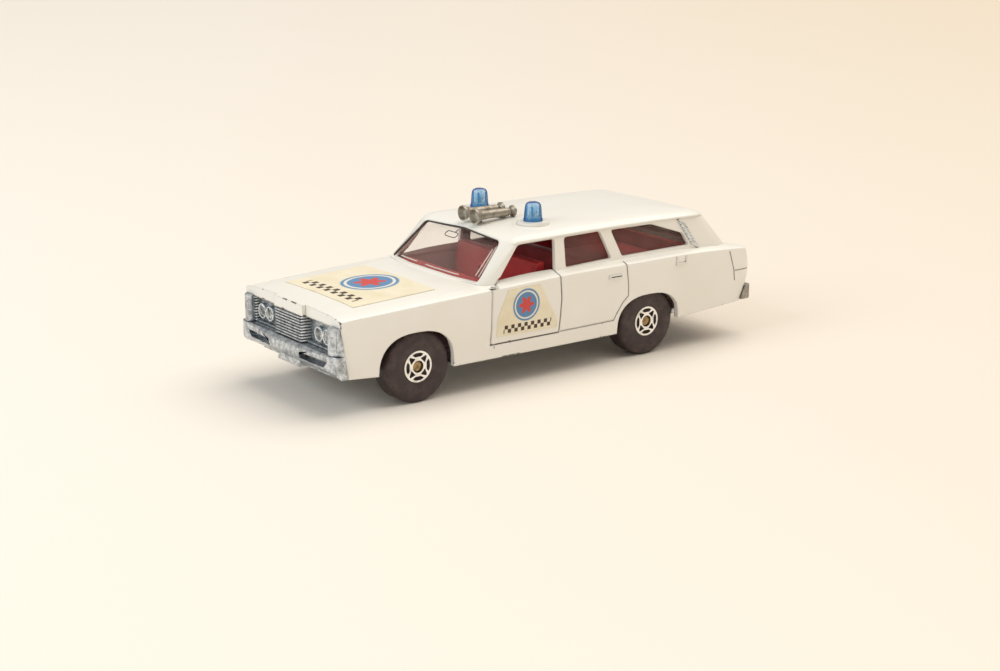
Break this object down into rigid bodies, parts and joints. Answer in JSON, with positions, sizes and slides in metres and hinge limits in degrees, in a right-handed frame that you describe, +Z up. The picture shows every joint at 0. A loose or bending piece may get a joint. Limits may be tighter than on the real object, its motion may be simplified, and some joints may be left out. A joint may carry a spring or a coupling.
{
  "type": "toy police car",
  "caption": "Die-cast toy estate car in police trim with opening front doors, free-turning wheels on sprung axles, clear windows, roof beacons and air horns.",
  "frame": {"origin": "on the ground under the middle of the car's length and width", "axes": "+X forward, +Y to the car's left, +Z up"},
  "size_m": [0.1128, 0.0406, 0.0361],
  "materials": {
    "white_paint": "gloss enamel on zinc casting, chipped at the edges",
    "bare_casting": "bare zinc casting, dulled",
    "bright_casting": "bright metal lamp faces",
    "clear_plastic": "clear moulded plastic",
    "red_plastic": "semi-gloss moulding",
    "spring_steel": "rolled strip",
    "blue_plastic": "translucent moulding",
    "silver_plastic": "vacuum-plated moulding, worn",
    "axle_steel": "tarnished wire",
    "black_tyre": "matt black moulding",
    "bright_hub": "vacuum-plated pressing",
    "label_paper": "yellowed printed paper"
  },
  "bodies": {
    "car": {"body_shell": "white_paint", "base_plate": "bare_casting", "front_grille": "bare_casting", "headlamp_lenses": "bright_casting", "window_glazing": "clear_plastic", "interior_tub": "red_plastic", "steering_wheel": "red_plastic", "door_spring": "spring_steel", "left_beacon": "blue_plastic", "right_beacon": "blue_plastic", "air_horns": "silver_plastic", "front_axle_spring": "spring_steel", "rear_axle_spring": "spring_steel", "bonnet_label": "label_paper"},
    "left_door": {"left_front_door": "white_paint", "left_door_label": "label_paper"},
    "right_door": {"right_front_door": "white_paint", "right_door_label": "label_paper"},
    "front_axle_set": {"front_axle": "axle_steel"},
    "rear_axle_set": {"rear_axle": "axle_steel"},
    "front_left_wheel_set": {"front_left_wheel": "black_tyre", "front_left_hub": "bright_hub"},
    "front_right_wheel_set": {"front_right_wheel": "black_tyre", "front_right_hub": "bright_hub"},
    "rear_left_wheel_set": {"rear_left_wheel": "black_tyre", "rear_left_hub": "bright_hub"},
    "rear_right_wheel_set": {"rear_right_wheel": "black_tyre", "rear_right_hub": "bright_hub"}
  },
  "joints": [
    {"name": "left_door_hinge", "type": "hinge", "parent": "car", "child": "left_door", "pos_m": [0.01745, 0.01865, 0.0154], "axis": [0, 0, -1], "range_deg": [0, 60]},
    {"name": "right_door_hinge", "type": "hinge", "parent": "car", "child": "right_door", "pos_m": [0.01745, -0.01865, 0.0154], "axis": [0, 0, 1], "range_deg": [0, 60]},
    {"name": "front_suspension", "type": "slide", "parent": "car", "child": "front_axle_set", "axis": [0, 0, 1], "range_m": [0, 0.001], "stiffness_N_per_m": 500, "springref_m": -0.004, "deforming": ["front_axle_spring"]},
    {"name": "rear_suspension", "type": "slide", "parent": "car", "child": "rear_axle_set", "axis": [0, 0, 1], "range_m": [0, 0.001], "stiffness_N_per_m": 500, "springref_m": -0.004, "deforming": ["rear_axle_spring"]},
    {"name": "front_left_wheel_spin", "type": "hinge", "parent": "front_axle_set", "child": "front_left_wheel_set", "pos_m": [0.0357, 0.0154, 0.0076], "axis": [0, 1, 0], "continuous": true},
    {"name": "front_right_wheel_spin", "type": "hinge", "parent": "front_axle_set", "child": "front_right_wheel_set", "pos_m": [0.0357, -0.0154, 0.0076], "axis": [0, 1, 0], "continuous": true},
    {"name": "rear_left_wheel_spin", "type": "hinge", "parent": "rear_axle_set", "child": "rear_left_wheel_set", "pos_m": [-0.0253, 0.0154, 0.0076], "axis": [0, 1, 0], "continuous": true},
    {"name": "rear_right_wheel_spin", "type": "hinge", "parent": "rear_axle_set", "child": "rear_right_wheel_set", "pos_m": [-0.0253, -0.0154, 0.0076], "axis": [0, 1, 0], "continuous": true}
  ]
}
